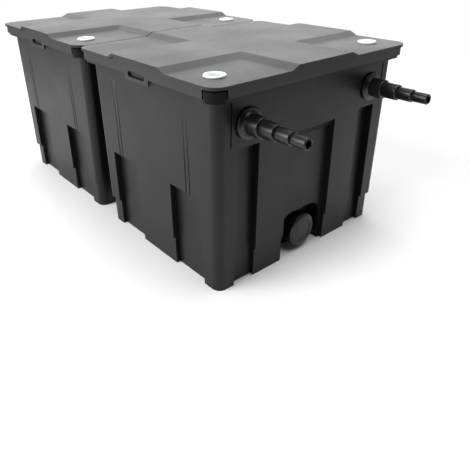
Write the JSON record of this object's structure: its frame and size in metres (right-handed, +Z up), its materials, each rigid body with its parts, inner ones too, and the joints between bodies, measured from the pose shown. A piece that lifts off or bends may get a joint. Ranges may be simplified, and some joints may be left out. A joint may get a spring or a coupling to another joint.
{
  "type": "two-chamber pond filter box",
  "caption": "Dark moulded two-chamber flow-through pond filter with lift-off lids, stepped hose tails, drain caps, lid indicators and filter media inside.",
  "frame": {"origin": "on the floor, midway between the two tubs and centred across them", "axes": "+Z up, -Y towards the hose tails of the inlet side, +Y towards the outlets, +X to the right when looking at the inlet side"},
  "size_m": [0.59, 1.24, 0.461],
  "materials": {
    "tub_plastic": "satin injection-moulded polypropylene, fine moulded grain",
    "lid_plastic": "satin injection-moulded polypropylene, fine moulded grain",
    "latch_plastic": "satin moulded plastic",
    "seal_rubber": "matt black rubber",
    "fitting_plastic": "semi-gloss black moulded ABS",
    "indicator_shell": "glossy white moulded plastic",
    "lens": "clear polycarbonate window",
    "needle": "red moulded plastic",
    "flow_disc": "green moulded plastic",
    "basket_plastic": "satin black polypropylene",
    "filter_foam": "open-cell reticulated filter foam",
    "bio_ball_plastic": "moulded polyethylene",
    "ceramic": "porous sintered ceramic",
    "filter_mat": "coarse bonded fibre mat"
  },
  "bodies": {
    "tubs": {"front_tub": "tub_plastic", "rear_tub": "tub_plastic", "inlet_tail_left": "fitting_plastic", "inlet_tail_right": "fitting_plastic", "inlet_gasket_left": "seal_rubber", "inlet_gasket_right": "seal_rubber", "inlet_nut_left": "fitting_plastic", "inlet_nut_right": "fitting_plastic", "outlet_tail_left": "fitting_plastic", "outlet_tail_right": "fitting_plastic", "outlet_gasket_left": "seal_rubber", "outlet_gasket_right": "seal_rubber", "outlet_nut_left": "fitting_plastic", "outlet_nut_right": "fitting_plastic", "transfer_pipe_left": "fitting_plastic", "transfer_pipe_right": "fitting_plastic", "transfer_seals_left": "seal_rubber", "transfer_seals_right": "seal_rubber", "front_drain_spigot": "fitting_plastic", "front_drain_gasket": "seal_rubber", "front_drain_nut": "fitting_plastic", "rear_drain_spigot": "fitting_plastic", "rear_drain_gasket": "seal_rubber", "rear_drain_nut": "fitting_plastic", "front_grate": "basket_plastic", "rear_grate": "basket_plastic", "foam_1": "filter_foam", "foam_2": "filter_foam", "foam_3": "filter_foam", "foam_4": "filter_foam", "foam_5": "filter_foam", "foam_6": "filter_foam", "bio_ball_basket": "basket_plastic", "bio_balls": "bio_ball_plastic", "ceramic_basket": "basket_plastic", "ceramic_rings": "ceramic", "filter_mat": "filter_mat"},
    "front_lid": {"front_lid": "lid_plastic", "front_lid_seal": "seal_rubber", "front_flow_housing": "indicator_shell", "front_flow_lens": "lens", "front_thermo_housing": "indicator_shell", "front_thermo_lens": "lens"},
    "rear_lid": {"rear_lid": "lid_plastic", "rear_lid_seal": "seal_rubber", "rear_flow_housing": "indicator_shell", "rear_flow_lens": "lens", "rear_thermo_housing": "indicator_shell", "rear_thermo_lens": "lens"},
    "front_latch_near": {"front_latch_near": "latch_plastic"},
    "front_latch_far": {"front_latch_far": "latch_plastic"},
    "front_drain_cap": {"front_drain_cap": "fitting_plastic"},
    "front_flow_disc": {"front_flow_disc": "flow_disc"},
    "front_thermo_needle": {"front_thermo_needle": "needle"},
    "rear_latch_near": {"rear_latch_near": "latch_plastic"},
    "rear_latch_far": {"rear_latch_far": "latch_plastic"},
    "rear_drain_cap": {"rear_drain_cap": "fitting_plastic"},
    "rear_flow_disc": {"rear_flow_disc": "flow_disc"},
    "rear_thermo_needle": {"rear_thermo_needle": "needle"}
  },
  "joints": [
    {"name": "front_lid_lift", "type": "slide", "parent": "tubs", "child": "front_lid", "axis": [0, 0, 1], "range_m": [0, 0.3]},
    {"name": "front_latch_near_turn", "type": "hinge", "parent": "front_lid", "child": "front_latch_near", "pos_m": [-0.27785, -0.48135, 0.4441], "axis": [-0.7071, 0.7071, 0], "range_deg": [0, 20]},
    {"name": "front_latch_far_turn", "type": "hinge", "parent": "front_lid", "child": "front_latch_far", "pos_m": [0.27785, -0.01865, 0.4441], "axis": [0.7071, -0.7071, 0], "range_deg": [0, 20]},
    {"name": "front_drain_cap_turn", "type": "hinge", "parent": "tubs", "child": "front_drain_cap", "pos_m": [0, -0.455, 0.051], "axis": [0, -1, 0], "range_deg": [0, 720]},
    {"name": "front_flow_disc_turn", "type": "hinge", "parent": "front_lid", "child": "front_flow_disc", "pos_m": [-0.233, -0.428, 0.447], "axis": [0, 0, 1], "range_deg": [0, 180]},
    {"name": "front_thermo_needle_turn", "type": "hinge", "parent": "front_lid", "child": "front_thermo_needle", "pos_m": [0.233, -0.428, 0.447], "axis": [0, 0, 1], "range_deg": [-130, 130]},
    {"name": "rear_lid_lift", "type": "slide", "parent": "tubs", "child": "rear_lid", "axis": [0, 0, 1], "range_m": [0, 0.3]},
    {"name": "rear_latch_near_turn", "type": "hinge", "parent": "rear_lid", "child": "rear_latch_near", "pos_m": [-0.27785, 0.01865, 0.4441], "axis": [-0.7071, 0.7071, 0], "range_deg": [0, 20]},
    {"name": "rear_latch_far_turn", "type": "hinge", "parent": "rear_lid", "child": "rear_latch_far", "pos_m": [0.27785, 0.48135, 0.4441], "axis": [0.7071, -0.7071, 0], "range_deg": [0, 20]},
    {"name": "rear_drain_cap_turn", "type": "hinge", "parent": "tubs", "child": "rear_drain_cap", "pos_m": [0, 0.455, 0.051], "axis": [0, 1, 0], "range_deg": [0, 720]},
    {"name": "rear_flow_disc_turn", "type": "hinge", "parent": "rear_lid", "child": "rear_flow_disc", "pos_m": [-0.233, 0.072, 0.447], "axis": [0, 0, 1], "range_deg": [0, 180]},
    {"name": "rear_thermo_needle_turn", "type": "hinge", "parent": "rear_lid", "child": "rear_thermo_needle", "pos_m": [0.233, 0.072, 0.447], "axis": [0, 0, 1], "range_deg": [-130, 130]}
  ]
}
